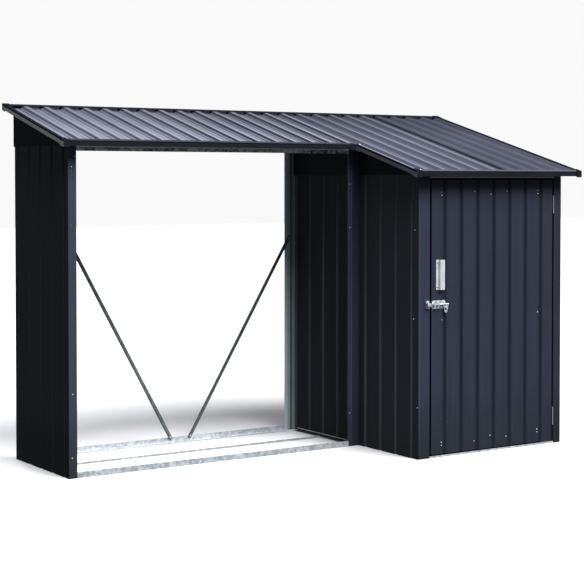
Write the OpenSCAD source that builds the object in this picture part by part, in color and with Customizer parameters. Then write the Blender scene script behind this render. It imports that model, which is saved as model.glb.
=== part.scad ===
// Steel log store with a tool shed: an open log bay on the left, a shed with one door on the right,
// and one roof that falls to the front and steps forward over the shed.
// The front faces -Y, +Z is up, and the origin is on the ground under the middle of the roof.

/* [Plan] */
// Width of the log bay, over the outer faces of its two side walls
bay_w = 1470; // [1100:1:2000]
// Width of the shed, over the outer faces of its side walls
shed_w = 844; // [700:1:1200]
// Depth of the log bay, over the outer faces of its posts
bay_d = 544; // [400:1:800]
// How far the shed stands forward of the log bay
shed_reach = 449; // [300:1:650]

/* [Roof] */
// Height of the roof's top edge along the back
roof_h = 1566; // [1450:1:1900]
// Fall of the roof in degrees
roof_pitch = 15.3; // [10:0.1:20]
// Overhang of the roof past the left wall
left_overhang = 51; // [30:1:120]
// Overhang of the roof past the right wall
right_overhang = 66; // [30:1:120]
// Overhang of the shed's roof past the shed's left wall
step_overhang = 63; // [30:1:120]
// Overhang of the roof past the front posts
front_overhang = 65; // [40:1:120]
// Overhang of the roof past the back posts
back_overhang = 12; // [12:1:60]
// Distance between the roof sheets' ribs
roof_rib_pitch = 96.2; // [80:0.1:140]
// Distance of the first roof rib from the roof's left edge
roof_rib_first = 96; // [50:1:100]
// Height of a roof rib
roof_rib_h = 12; // [6:0.5:20]
// Width of a roof rib at its foot
roof_rib_foot = 44; // [36:1:60]
// Width of a roof rib at its top
roof_rib_top = 22; // [14:1:30]
// Rib at which the two sheets over the shed meet, counted from the roof's left edge
roof_seam_rib = 20; // [18:1:21]
// Height of the roof's edge trim
trim_h = 24; // [20:1:50]
// Thickness of the edge trim
trim_t = 1.2; // [0.8:0.1:2]
// Width of the trim's flange on the sheets
trim_flange = 22; // [14:1:40]
// Width of the flange along the back edge
back_flange = 32; // [20:1:60]
// Length of the caps on the roof's corners
cap_w = 30; // [24:1:60]
// Thickness of the corner caps
cap_t = 2; // [1:0.1:5]
// How far the corner caps reach below the trim
cap_drop = 4; // [0:0.5:5]

/* [Walls] */
// Thickness of the wall, door and roof sheets
sheet_t = 1.2; // [0.8:0.1:2]
// Distance between the grooves in the walls
wall_pitch = 115; // [90:1:150]
// Distance of the first groove behind the log bay's front
wall_groove_first = 44; // [40:1:90]
// Distance of the first groove in the shed's left side in front of the log bay's front
shed_groove_first = 56; // [40:1:90]
// Width of a groove at the face
groove_w = 24; // [16:1:34]
// Width of a groove at its bottom
groove_floor = 7; // [4:1:12]
// Depth of a groove
groove_d = 7; // [3:0.5:10]
// Height from each side wall's top to the roof at its front corner
wall_drop = 13; // [10:1:60]
// Thickness of the gable plates
gable_t = 1.5; // [0.8:0.1:2]
// How far the gable plates lap over the walls
gable_lap = 8; // [6:1:30]
// How far the outer gable plates reach past the back posts
gable_reach = 10; // [4:1:10]

/* [Frame] */
// Thickness of the folded posts and beams
post_t = 1.5; // [1:0.1:2.5]
// Width of the log bay's left posts
post_w = 37; // [30:1:60]
// Depth of a post's side flange
post_side = 36; // [30:1:60]
// Depth of the narrow lip on the posts
post_lip = 12; // [6:1:20]
// Width of the log bay's posts at the shed
mid_post_w = 56; // [40:1:90]
// Width of the shed's front left post
shed_post_w = 62; // [40:1:90]
// Width of the shed's front right post
hinge_post_w = 44; // [40:1:90]
// Height of the log bay's top beams
beam_h = 45; // [40:1:80]
// Width of the top beams' lower flange
beam_flange = 25; // [12:1:40]
// Thickness of the base rails
rail_t = 1.5; // [1:0.1:2.5]
// Height of the base rails
rail_h = 25; // [15:1:30]
// Width of the base rails on the ground
rail_w = 30; // [15:1:45]
// Height of the log bay's side rails
side_rail_h = 13; // [8:1:30]
// Height of the log bay's middle rail
middle_rail_h = 9; // [5:1:15]
// Height of the shed's sill
sill_h = 8; // [4:0.5:8]
// Width of the shed's sill on the ground
sill_w = 40; // [25:1:60]
// Width of a brace's leg on the posts
brace_w = 18; // [12:1:24]
// Depth of a brace's outer leg
brace_leg = 12; // [8:1:20]
// Thickness of a brace
brace_t = 1.5; // [1:0.1:2.5]
// Place of the braces' feet along the back rail, as a share of the log bay's width
brace_feet_share = 0.562; // [0.45:0.001:0.6]
// Distance between the two braces' feet
brace_feet_gap = 95; // [60:1:200]
// Height of the braces' feet
brace_foot_h = 14; // [12:1:15]
// Height of the left brace's upper end
brace_left_h = 1376; // [1200:1:1480]
// Height of the right brace's upper end
brace_right_h = 956; // [800:1:1150]

/* [Door] */
// Gap between the door and the posts
door_gap = 10; // [8:0.5:16]
// Gap between the door's top and the level of the eave's lower edge
door_top_gap = 17.5; // [5:0.5:20]
// How far the strip over the door reaches below the level of the eave's lower edge
header_drop = 8.5; // [0:0.5:10]
// Height of the door's lower edge over the ground
door_bottom = 14; // [13:1:25]
// Distance of the door's first groove from its left edge
door_groove_first = 75; // [60:1:100]
// Distance between the door's grooves
door_pitch = 95.2; // [80:0.1:110]
// Depth of the door's folded side edges
door_edge = 20; // [18:1:30]
// Width of the frame bars behind the door
door_bar_w = 30; // [20:1:40]
// Depth of the frame bars behind the door
door_bar_d = 12; // [8:1:20]
// Distance of the left bar from the door's left edge
door_bar_left = 45; // [30:1:60]
// Distance of the right bar from the door's right edge
door_bar_right = 77; // [40:1:90]
// Distance of the cross bars from the door's top and lower edges
door_bar_end = 32; // [20:1:60]

/* [Hinges] */
// Height of a hinge
hinge_h = 83; // [60:1:110]
// Distance of the hinges from the door's top and lower edges
hinge_inset = 72; // [40:1:120]
// Radius of a hinge's knuckles
knuckle_r = 4.2; // [3.8:0.1:4.5]
// Radius of a hinge's pin
pin_r = 1.8; // [1.5:0.1:2.2]
// Thickness of a hinge's leaves
leaf_t = 1.5; // [1:0.1:1.8]
// Depth of a hinge's leaves
leaf_d = 18; // [12:1:18]

/* [Handle] */
// Height of the handle's middle on the door, as a share of the door's height
handle_place_share = 0.656; // [0.62:0.001:0.75]
// Length of the handle
handle_l = 133; // [100:1:180]
// Distance of the handle from the door's left edge
handle_inset = 25; // [10:1:26]
// Width of the handle
handle_w = 38; // [36:1:48]
// Width of the handle's screw flange
handle_flange = 16; // [12:1:20]
// How far the handle's grip stands off the door
handle_out = 16; // [13:1:24]
// Width of the grip's first band, next to its screw flange
handle_fold = 11; // [6:1:13]
// How far the grip's second band stands out from the first
handle_rise = 1.5; // [1:0.5:4]
// Depth of the lip along the grip
handle_lip = 4; // [2.5:0.5:6]
// Thickness of the handle
handle_t = 2; // [1.5:0.1:3]

/* [Bolt] */
// Height of the bolt on the door, as a share of the door's height
bolt_place_share = 0.548; // [0.45:0.001:0.56]
// Radius of the bolt's rod
bolt_r = 4; // [3:0.1:4.5]
// Length of the bolt's rod
bolt_l = 88; // [84:1:92]
// How far the withdrawn rod's tip lies from the door's edge
bolt_tip = 2; // [1:0.5:4]
// Width of the bolt's plate
bolt_plate_w = 74; // [66:1:76]
// Height of the bolt's plate
bolt_plate_h = 36; // [30:1:50]
// Thickness of the bolt's plate
bolt_plate_t = 2; // [1.5:0.1:3]
// Distance of the plate from the door's edge
bolt_plate_inset = 2; // [1:0.5:4]
// Width of each of the two guides
guide_w = 7; // [5:1:9]
// Distance between the middles of the guides
guide_pitch = 22; // [18:1:24]
// Wall of the guides and the keeper round the rod
guide_wall = 3; // [2.5:0.5:4]
// Running gap between the rod and its guides
bolt_run_gap = 0.6; // [0.4:0.1:1]
// Gap between the rod and the keeper's hole
keeper_gap = 1; // [0.6:0.1:1.5]
// Width of the keeper's loop
keeper_w = 20; // [14:1:22]
// Width of the bolt's tab
tab_w = 30; // [22:1:34]
// How far the tab hangs below the rod
tab_drop = 38; // [36:1:46]
// Thickness of the tab
tab_t = 3; // [2:0.5:4]
// Radius of the padlock's hole in the tab
eye_r = 5.5; // [4:0.1:6.5]
// How far the hole lies below the rod's middle
eye_drop = 22; // [20:1:24]
// Radius of the tab's rounded end
tab_end_r = 7; // [5:0.5:9]

/* [Hidden] */
$fn = 48;
// How far a cut runs past the faces that it opens
overrun = 1;
// Gap between sloping faces that lie on each other
lap_gap = 0.2;
// Running gap in the hinges
hinge_run_gap = 0.4;
// Most ribs or grooves that a sheet is given
most_ribs = 60;

// Plan lines across the width
roof_w = left_overhang + bay_w + shed_w + right_overhang;
roof_xl = -roof_w / 2;
roof_xr = roof_w / 2;
x0 = roof_xl + left_overhang;
x1 = x0 + bay_w;
x2 = x1 + shed_w;
step_x = x1 - step_overhang;

// Plan lines across the depth
roof_d = back_overhang + bay_d + shed_reach + front_overhang;
roof_yb = roof_d / 2;
roof_yf = -roof_d / 2;
y_back = roof_yb - back_overhang;
y_bay = y_back - bay_d;
y_shed = y_bay - shed_reach;
bay_yf = y_bay - front_overhang;

// Heights under the sloping roof
slope = tan(roof_pitch);
lean = cos(roof_pitch);
function top_z(y) = roof_h - (roof_yb - y) * slope;
function flange_z(y) = top_z(y) - trim_t / lean;
function seat_z(y) = flange_z(y) - lap_gap - (roof_rib_h + sheet_t) / lean;
function under_z(y) = seat_z(y) - lap_gap;
wall_d = groove_d + sheet_t;
left_wall_h = under_z(y_bay) - wall_drop;
shed_wall_h = under_z(y_shed) - wall_drop;
left_gable_z = left_wall_h - gable_lap;
shed_gable_z = shed_wall_h - gable_lap;
corner_in = max(post_side, rail_w);

// Door lines
door_l = x1 + shed_post_w + door_gap;
door_r = x2 - hinge_post_w - door_gap;
door_top = top_z(roof_yf) - trim_h - door_top_gap;
door_h = door_top - door_bottom;
door_back = y_shed + wall_d;
hinge_x = door_r + door_gap / 2;
hinge_places = [door_bottom + hinge_inset, door_top - hinge_inset - hinge_h];
hinge_knuckle = hinge_h / 3;

// Bolt lines
bolt_z = door_bottom + bolt_place_share * door_h;
bolt_y = y_shed - bolt_plate_t - guide_wall / 2 - bolt_r;
guide_y = bolt_y - bolt_r - bolt_run_gap - guide_wall;
guide_half = bolt_r + bolt_run_gap + guide_wall;
guide_x = door_l + bolt_plate_inset + guide_w;
tab_x = door_l + bolt_tip + bolt_l - tab_w / 2;
tab_end_z = bolt_z - tab_drop + tab_end_r;
keeper_x = x1 + shed_post_w - bolt_plate_inset - keeper_w;
handle_z = door_bottom + handle_place_share * door_h;

dark = "#2e3138";
deep = "#26292e";
roof_grey = "#474a55";
zinc = "#a9b0b4";
bright = "#c3c7c9";

// A box between two corners
module block(a, b) {
    translate(a) cube(b - a);
}

// A rectangle between two corners
module rect(a, b) {
    translate(a) square(b - a);
}

// A profile drawn in Y and Z, run along X
module along_x(xa, xb) {
    translate([xa, 0, 0]) rotate([90, 0, 90]) linear_extrude(xb - xa) children();
}

// A profile drawn in X and Y, run upwards
module upright(za, zb) {
    translate([0, 0, za]) linear_extrude(zb - za) children();
}

// A profile drawn in X and Z, run along Y
module along_y(ya, yb) {
    translate([0, yb, 0]) rotate([90, 0, 0]) linear_extrude(yb - ya) children();
}

// The line of a grooved sheet's face from a to b, as places along it and depths
function groove_line(a, b, places) = concat([[a, 0]],
    [for (c = places) each [[c - groove_w / 2, 0], [c - groove_floor / 2, groove_d],
        [c + groove_floor / 2, groove_d], [c + groove_w / 2, 0]]],
    [[b, 0]]);

// A line closed into a sheet's section
function sheet_section(line) = concat(line,
    [for (i = [len(line) - 1 : -1 : 0]) line[i] + [0, sheet_t]]);

// Places of the grooves between a and b, on one run of places
function groove_places(a, b, first, pitch) = [for (k = [-most_ribs : most_ribs])
    let (c = first + k * pitch) if (c > a + groove_w && c < b - groove_w) c];

// A grooved side wall, with its face at xo and its grooves going to the side that way gives
module side_wall(xo, way, ya, yb, h, first) {
    places = groove_places(ya, yb, first, wall_pitch);
    section = sheet_section(groove_line(ya, yb, places));
    upright(0, h) polygon([for (p = section) [xo + way * p[1], p[0]]]);
}

// A band that follows the roof's fall between ya and yb
module slope_band(ya, yb, up, down) {
    polygon([[ya, top_z(ya) + up], [yb, top_z(yb) + up], [yb, top_z(yb) - down], [ya, top_z(ya) - down]]);
}

// A gable plate from the line za up to the roof
module gable(xa, xb, ya, yb, za) {
    along_x(xa, xb) polygon([[ya, za], [yb, za], [yb, under_z(yb)], [ya, under_z(ya)]]);
}

// The corners of the roof's ribs, from its left edge to its right edge
rib_corners = [for (k = [0 : most_ribs]) let (c = roof_xl + roof_rib_first + k * roof_rib_pitch)
    if (c + roof_rib_foot / 2 < roof_xr - trim_t - lap_gap)
        each [[c - roof_rib_foot / 2, 0], [c - roof_rib_top / 2, roof_rib_h],
            [c + roof_rib_top / 2, roof_rib_h], [c + roof_rib_foot / 2, 0]]];

// A ribbed roof sheet between xa and xb, from the back edge to the line yf, which may cut through a rib
module roof_sheet(xa, xb, yf) {
    line = concat([[xa, lookup(xa, rib_corners)]],
        [for (p = rib_corners) if (p[0] > xa + lap_gap && p[0] < xb - lap_gap) p],
        [[xb, lookup(xb, rib_corners)]]);
    rise = (roof_rib_h + sheet_t) * sin(roof_pitch);
    front_in = trim_t + lap_gap + rise;
    run = (roof_yb - trim_t - lap_gap - yf - front_in) / lean;
    back_y = roof_yb - trim_t - lap_gap;
    translate([0, back_y, seat_z(back_y)]) rotate([roof_pitch, 0, 0])
        along_y(-run, 0) polygon(sheet_section(line));
}

// An edge trim across the roof: a face at ye and a flange that runs to the side that way gives
module eave_trim(xa, xb, ye, way, flange, flange_xa, flange_xb) {
    along_x(xa, xb) slope_band(min(ye, ye + way * trim_t), max(ye, ye + way * trim_t), 0, trim_h);
    along_x(flange_xa, flange_xb)
        slope_band(min(ye, ye + way * flange), max(ye, ye + way * flange), 0, trim_t / lean);
}

// An edge trim down the roof: a face at xe and a flange that runs to the side that way gives
module verge_trim(xe, way, ya, yb, flange_ya, flange_yb) {
    along_x(min(xe, xe + way * trim_t), max(xe, xe + way * trim_t)) slope_band(ya, yb, 0, trim_h);
    along_x(min(xe, xe + way * trim_flange), max(xe, xe + way * trim_flange))
        slope_band(flange_ya, flange_yb, 0, trim_t / lean);
}

// A cap round an outer corner of the roof at x, y, whose arms run the ways sx and sy
module corner_cap(x, sx, y, sy) {
    xo = x - sx * cap_t;
    yo = y - sy * cap_t;
    xi = x + sx * cap_w;
    yi = y + sy * cap_w;
    along_x(min(xo, x), max(xo, x)) slope_band(min(yo, yi), max(yo, yi), cap_t, trim_h + cap_drop);
    along_x(min(xo, xi), max(xo, xi)) slope_band(min(yo, y), max(yo, y), cap_t, trim_h + cap_drop);
    along_x(min(xo, x + sx * trim_flange), max(xo, x + sx * trim_flange))
        slope_band(min(yo, yi), max(yo, yi), cap_t, 0);
}

// A cap in the inner corner of the roof, where the shed's roof steps forward
module step_cap(x, y) {
    along_x(x - cap_w, x) slope_band(y - cap_t, y, 0, trim_h + cap_drop);
    along_x(x - cap_t, x) slope_band(y - cap_w, y, 0, trim_h + cap_drop);
}

// A brace of angle from one point to another on the back plane, its outer leg to the front
module brace(xa, za, xb, zb) {
    yo = y_back - post_t;
    run = norm([xb - xa, zb - za]);
    translate([xa, yo, za]) rotate([0, -atan2(zb - za, xb - xa), 0]) {
        block([0, -brace_t, -brace_w / 2], [run, 0, brace_w / 2]);
        block([0, -brace_leg, brace_w / 2 - brace_t], [run, 0, brace_w / 2]);
    }
}

module left_wall() {
    color(deep) side_wall(x0, 1, y_bay + post_t, y_back - post_t, left_wall_h, y_bay + wall_groove_first);
}

module left_gable() {
    color(deep) gable(x0 - gable_t, x0, y_bay, y_back + gable_reach, left_gable_z);
}

module left_front_post() {
    color(dark) upright(0, under_z(y_bay)) {
        rect([x0, y_bay], [x0 + post_w, y_bay + post_t]);
        rect([x0 + wall_d, y_bay], [x0 + wall_d + post_t, y_bay + post_side]);
        rect([x0 + post_w - post_t, y_bay], [x0 + post_w, y_bay + post_lip]);
    }
}

module left_rear_post() {
    color(zinc) upright(0, under_z(y_back - post_side)) {
        rect([x0, y_back - post_t], [x0 + post_w, y_back]);
        rect([x0 + wall_d, y_back - post_side], [x0 + wall_d + post_t, y_back]);
    }
}

module mid_front_post() {
    color(dark) {
        upright(0, shed_gable_z) {
            rect([x1 - mid_post_w, y_bay], [x1, y_bay + post_t]);
            rect([x1 - post_t, y_bay], [x1, y_bay + post_side]);
            rect([x1 - mid_post_w, y_bay], [x1 - mid_post_w + post_t, y_bay + post_lip]);
        }
        upright(0, under_z(y_bay)) {
            rect([x1 - mid_post_w, y_bay], [x1 - gable_t, y_bay + post_t]);
            rect([x1 - mid_post_w, y_bay], [x1 - mid_post_w + post_t, y_bay + post_lip]);
        }
    }
}

module mid_rear_post() {
    color(zinc) {
        upright(0, shed_gable_z) {
            rect([x1 - mid_post_w, y_back - post_t], [x1, y_back]);
            rect([x1 - post_t, y_back - post_lip], [x1, y_back]);
        }
        upright(0, under_z(y_back - post_side))
            rect([x1 - mid_post_w, y_back - post_t], [x1 - gable_t, y_back]);
    }
}

module partition_wall() {
    color(deep) side_wall(x1, 1, y_bay, y_back, shed_wall_h, y_bay - shed_groove_first);
}

module fore_wall() {
    color(deep) side_wall(x1, 1, y_shed + post_t, y_bay, shed_wall_h, y_bay - shed_groove_first);
}

module shed_left_gable() {
    color(deep) gable(x1 - gable_t, x1, y_shed, y_back, shed_gable_z);
}

module shed_front_left_post() {
    color(dark) upright(0, under_z(y_shed)) {
        rect([x1, y_shed], [x1 + shed_post_w, y_shed + post_t]);
        rect([x1 + wall_d, y_shed], [x1 + wall_d + post_t, y_shed + post_side]);
        rect([x1 + shed_post_w - post_t, y_shed], [x1 + shed_post_w, y_shed + post_lip]);
    }
}

module shed_front_right_post() {
    color(dark) upright(0, under_z(y_shed)) {
        rect([x2 - hinge_post_w, y_shed], [x2, y_shed + post_t]);
        rect([x2 - wall_d - post_t, y_shed], [x2 - wall_d, y_shed + post_side]);
        rect([x2 - hinge_post_w, y_shed], [x2 - hinge_post_w + post_t, y_shed + leaf_d]);
    }
}

module shed_rear_right_post() {
    xi = x2 - wall_d;
    yi = y_back - wall_d;
    color(zinc) upright(0, under_z(yi - post_side)) {
        rect([xi - post_side, yi - post_t], [xi, yi]);
        rect([xi - post_t, yi - post_side], [xi, yi]);
    }
}

module shed_right_wall() {
    color(deep) side_wall(x2, -1, y_shed + post_t, y_back, shed_wall_h, y_bay + wall_groove_first);
}

module shed_right_gable() {
    color(deep) gable(x2, x2 + gable_t, y_shed, y_back + gable_reach, shed_gable_z);
}

module shed_back_wall() {
    xa = x1 + wall_d;
    xb = x2 - wall_d;
    places = groove_places(xa, xb, xa + wall_groove_first, wall_pitch);
    section = sheet_section(groove_line(xa, xb, places));
    color(deep) upright(0, under_z(y_back - wall_d)) polygon([for (p = section) [p[0], y_back - p[1]]]);
}

module door_header() {
    za = door_top + door_top_gap - header_drop;
    zb = under_z(y_shed);
    color(dark) along_x(x1 + shed_post_w, x2 - hinge_post_w) {
        rect([y_shed, za], [y_shed + post_t, zb]);
        rect([y_shed, za], [y_shed + beam_flange, za + post_t]);
    }
}

module bay_front_beam() {
    zb = under_z(y_bay);
    za = zb - beam_h;
    color(zinc) along_x(x0 + post_w, x1 - mid_post_w) {
        rect([y_bay, za], [y_bay + post_t, zb]);
        rect([y_bay, za], [y_bay + beam_flange, za + post_t]);
    }
}

module bay_back_beam() {
    zb = under_z(y_back - post_t);
    za = zb - beam_h;
    color(zinc) along_x(x0 + post_w, x1 - mid_post_w) {
        rect([y_back - post_t, za], [y_back, zb]);
        rect([y_back - beam_flange, za], [y_back, za + post_t]);
    }
}

module bay_front_rail() {
    color(zinc) along_x(x0 + post_w, x1 - mid_post_w) {
        rect([y_bay, 0], [y_bay + rail_t, rail_h]);
        rect([y_bay, 0], [y_bay + rail_w, rail_t]);
    }
}

module bay_middle_rail() {
    ym = (y_bay + y_back) / 2;
    color(zinc) along_x(x0 + wall_d + rail_w, x1 - rail_w) {
        rect([ym, 0], [ym + rail_t, middle_rail_h]);
        rect([ym, 0], [ym + rail_w, rail_t]);
    }
}

module bay_back_rail() {
    color(zinc) along_x(x0 + post_w, x1 - mid_post_w) {
        rect([y_back - rail_t, 0], [y_back, rail_h]);
        rect([y_back - rail_w, 0], [y_back, rail_t]);
    }
}

module left_base_rail() {
    xa = x0 + wall_d;
    color(zinc) along_y(y_bay + corner_in, y_back - corner_in) {
        rect([xa, 0], [xa + rail_t, side_rail_h]);
        rect([xa, 0], [xa + rail_w, rail_t]);
    }
}

module partition_base_rail() {
    color(zinc) along_y(y_bay + corner_in, y_back - corner_in) {
        rect([x1 - rail_t, 0], [x1, side_rail_h]);
        rect([x1 - rail_w, 0], [x1, rail_t]);
    }
}

module shed_sill() {
    color(zinc) along_x(x1 + shed_post_w, x2 - hinge_post_w) {
        rect([y_shed, 0], [y_shed + rail_t, sill_h]);
        rect([y_shed, 0], [y_shed + sill_w, rail_t]);
    }
}

module shed_base_rails() {
    xa = x1 + wall_d;
    xb = x2 - wall_d;
    yi = y_back - wall_d;
    front = y_shed + max(post_side, sill_w);
    color(zinc) {
        along_y(front, yi - corner_in) {
            rect([xa, 0], [xa + rail_t, rail_h]);
            rect([xa, 0], [xa + rail_w, rail_t]);
        }
        along_y(front, yi - corner_in) {
            rect([xb - rail_t, 0], [xb, rail_h]);
            rect([xb - rail_w, 0], [xb, rail_t]);
        }
        along_x(xa, xb - corner_in) {
            rect([yi - rail_t, 0], [yi, rail_h]);
            rect([yi - rail_w, 0], [yi, rail_t]);
        }
    }
}

module brace_left() {
    foot = x0 + brace_feet_share * bay_w - brace_feet_gap / 2;
    color(zinc) brace(foot, brace_foot_h, x0 + post_w - brace_leg, brace_left_h);
}

module brace_right() {
    foot = x0 + brace_feet_share * bay_w + brace_feet_gap / 2;
    color(zinc) brace(foot, brace_foot_h, x1 - mid_post_w / 2, brace_right_h);
}

seam_x = roof_xl + roof_rib_first + roof_seam_rib * roof_rib_pitch - roof_rib_foot / 2;

module bay_roof_sheet() {
    color(roof_grey) roof_sheet(roof_xl + trim_t + lap_gap, step_x - lap_gap, bay_yf);
}

module shed_roof_sheet_left() {
    color(roof_grey) roof_sheet(step_x + trim_t + lap_gap, seam_x - lap_gap, roof_yf);
}

module shed_roof_sheet_right() {
    color(roof_grey) roof_sheet(seam_x, roof_xr - trim_t - lap_gap, roof_yf);
}

module trim_left() {
    color(dark) verge_trim(roof_xl, 1, bay_yf, roof_yb, bay_yf + trim_flange, roof_yb - back_flange);
}

module trim_bay_front() {
    color(dark) eave_trim(roof_xl + trim_t, step_x, bay_yf, 1, trim_flange, roof_xl + trim_t, step_x);
}

module trim_step() {
    color(dark) verge_trim(step_x, 1, roof_yf, bay_yf + trim_t, roof_yf + trim_flange, bay_yf + trim_t);
}

module trim_shed_front() {
    color(dark) eave_trim(step_x + trim_t, roof_xr - trim_t, roof_yf, 1, trim_flange,
        step_x + trim_t, roof_xr - trim_t);
}

module trim_right() {
    color(dark) verge_trim(roof_xr, -1, roof_yf, roof_yb, roof_yf + trim_flange, roof_yb - back_flange);
}

module trim_back() {
    color(dark) eave_trim(roof_xl + trim_t, roof_xr - trim_t, roof_yb, -1, back_flange,
        roof_xl + trim_t, roof_xr - trim_t);
}

module roof_corner_caps() {
    color(dark) {
        corner_cap(roof_xl, 1, bay_yf, 1);
        corner_cap(roof_xl, 1, roof_yb, -1);
        corner_cap(step_x, 1, roof_yf, 1);
        corner_cap(roof_xr, -1, roof_yf, 1);
        corner_cap(roof_xr, -1, roof_yb, -1);
        step_cap(step_x, bay_yf);
    }
}

module bolt_keeper() {
    half = bolt_r + keeper_gap + guide_wall;
    out = bolt_y - bolt_r - keeper_gap - guide_wall;
    color(bright) difference() {
        union() {
            block([keeper_x, y_shed - bolt_plate_t, bolt_z - bolt_plate_h / 2],
                [keeper_x + keeper_w, y_shed, bolt_z + bolt_plate_h / 2]);
            block([keeper_x, out, bolt_z - half], [keeper_x + keeper_w, y_shed, bolt_z + half]);
        }
        translate([keeper_x - overrun, bolt_y, bolt_z]) rotate([0, 90, 0])
            cylinder(r = bolt_r + keeper_gap, h = keeper_w + 2 * overrun);
    }
}

module hinge_post_leaves() {
    xa = x2 - hinge_post_w;
    color(bright) for (z = hinge_places) {
        difference() {
            block([xa - leaf_t, y_shed, z], [xa, y_shed + leaf_d, z + hinge_h]);
            translate([hinge_x, y_shed, z + hinge_knuckle - hinge_run_gap])
                cylinder(r = knuckle_r + hinge_run_gap, h = hinge_knuckle + 2 * hinge_run_gap);
        }
        translate([hinge_x, y_shed, z]) cylinder(r = knuckle_r, h = hinge_knuckle - hinge_run_gap);
        translate([hinge_x, y_shed, z + 2 * hinge_knuckle + hinge_run_gap])
            cylinder(r = knuckle_r, h = hinge_knuckle - hinge_run_gap);
        translate([hinge_x, y_shed, z]) cylinder(r = pin_r, h = hinge_h);
    }
}

module door_panel() {
    places = [for (k = [0 : most_ribs]) let (c = door_l + door_groove_first + k * door_pitch)
        if (c < door_r - groove_w) c];
    section = sheet_section(groove_line(door_l, door_r, places));
    color(dark) upright(door_bottom, door_top) {
        polygon([for (p = section) [p[0], y_shed + p[1]]]);
        rect([door_l, y_shed], [door_l + sheet_t, y_shed + door_edge]);
        rect([door_r - sheet_t, y_shed], [door_r, y_shed + door_edge]);
    }
}

module door_stiles() {
    za = door_bottom + door_bar_end;
    zb = door_top - door_bar_end;
    xl = door_l + door_bar_left;
    xr = door_r - door_bar_right;
    color(zinc) upright(za, zb) {
        rect([xl, door_back], [xl + door_bar_w, door_back + rail_t]);
        rect([xl, door_back], [xl + rail_t, door_back + door_bar_d]);
        rect([xr - door_bar_w, door_back], [xr, door_back + rail_t]);
        rect([xr - rail_t, door_back], [xr, door_back + door_bar_d]);
    }
}

module door_rails() {
    za = door_bottom + door_bar_end;
    zb = door_top - door_bar_end;
    xl = door_l + door_bar_left + door_bar_w;
    xr = door_r - door_bar_right - door_bar_w;
    color(zinc) along_x(xl, xr) {
        rect([door_back, za], [door_back + rail_t, za + door_bar_w]);
        rect([door_back, za], [door_back + door_bar_d, za + rail_t]);
        rect([door_back, zb - door_bar_w], [door_back + rail_t, zb]);
        rect([door_back, zb - rail_t], [door_back + door_bar_d, zb]);
    }
}

module door_handle() {
    xa = door_l + handle_inset;
    xb = xa + handle_flange;
    xm = xb + handle_fold;
    xc = xa + handle_w;
    yo = y_shed - handle_out;
    color(bright) upright(handle_z - handle_l / 2, handle_z + handle_l / 2) {
        rect([xa, y_shed - handle_t], [xb, y_shed]);
        rect([xb - handle_t, yo + handle_rise], [xb, y_shed]);
        rect([xb - handle_t, yo + handle_rise], [xm, yo + handle_rise + handle_t]);
        rect([xm - handle_t, yo], [xm, yo + handle_rise + handle_t]);
        rect([xm - handle_t, yo], [xc, yo + handle_t]);
        rect([xc - handle_t, yo], [xc, yo + handle_lip]);
    }
}

module bolt_plate() {
    xa = door_l + bolt_plate_inset;
    color(bright) {
        difference() {
            union() {
                block([xa, y_shed - bolt_plate_t, bolt_z - bolt_plate_h / 2],
                    [xa + bolt_plate_w, y_shed, bolt_z + bolt_plate_h / 2]);
                for (k = [0, 1]) block([guide_x + k * guide_pitch - guide_w / 2, guide_y, bolt_z - guide_half],
                    [guide_x + k * guide_pitch + guide_w / 2, y_shed, bolt_z + guide_half]);
            }
            translate([xa - overrun, bolt_y, bolt_z]) rotate([0, 90, 0])
                cylinder(r = bolt_r + bolt_run_gap, h = bolt_plate_w + 2 * overrun);
        }
    }
}

module hinge_door_leaves() {
    color(bright) for (z = hinge_places) difference() {
        union() {
            difference() {
                block([door_r, y_shed, z], [door_r + leaf_t, y_shed + leaf_d, z + hinge_h]);
                for (k = [0, 2]) translate([hinge_x, y_shed, z + k * hinge_knuckle - hinge_run_gap])
                    cylinder(r = knuckle_r + hinge_run_gap, h = hinge_knuckle + 2 * hinge_run_gap);
            }
            translate([hinge_x, y_shed, z + hinge_knuckle + hinge_run_gap])
                cylinder(r = knuckle_r, h = hinge_knuckle - 2 * hinge_run_gap);
        }
        translate([hinge_x, y_shed, z]) cylinder(r = pin_r + hinge_run_gap, h = hinge_h);
    }
}

module bolt() {
    color(bright) difference() {
        union() {
            translate([door_l + bolt_tip, bolt_y, bolt_z]) rotate([0, 90, 0])
                cylinder(r = bolt_r, h = bolt_l);
            along_y(bolt_y - tab_t / 2, bolt_y + tab_t / 2)
                polygon([[tab_x - tab_w / 2, bolt_z], [tab_x - tab_end_r, tab_end_z],
                    [tab_x + tab_end_r, tab_end_z], [tab_x + tab_w / 2, bolt_z]]);
            translate([tab_x, bolt_y + tab_t / 2, tab_end_z]) rotate([90, 0, 0]) cylinder(r = tab_end_r, h = tab_t);
        }
        translate([tab_x, bolt_y + tab_t, bolt_z - eye_drop]) rotate([90, 0, 0])
            cylinder(r = eye_r, h = 2 * tab_t);
    }
}

left_wall();
left_gable();
left_front_post();
left_rear_post();
mid_front_post();
mid_rear_post();
partition_wall();
fore_wall();
shed_left_gable();
shed_front_left_post();
shed_front_right_post();
shed_rear_right_post();
shed_right_wall();
shed_right_gable();
shed_back_wall();
door_header();
bay_front_beam();
bay_back_beam();
bay_front_rail();
bay_middle_rail();
bay_back_rail();
left_base_rail();
partition_base_rail();
shed_sill();
shed_base_rails();
brace_left();
brace_right();
bay_roof_sheet();
shed_roof_sheet_left();
shed_roof_sheet_right();
trim_left();
trim_bay_front();
trim_step();
trim_shed_front();
trim_right();
trim_back();
roof_corner_caps();
bolt_keeper();
hinge_post_leaves();
door_panel();
door_stiles();
door_rails();
door_handle();
bolt_plate();
hinge_door_leaves();
bolt();
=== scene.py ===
import math

import bmesh
import bpy
from mathutils import Euler, Matrix, Vector


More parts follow.
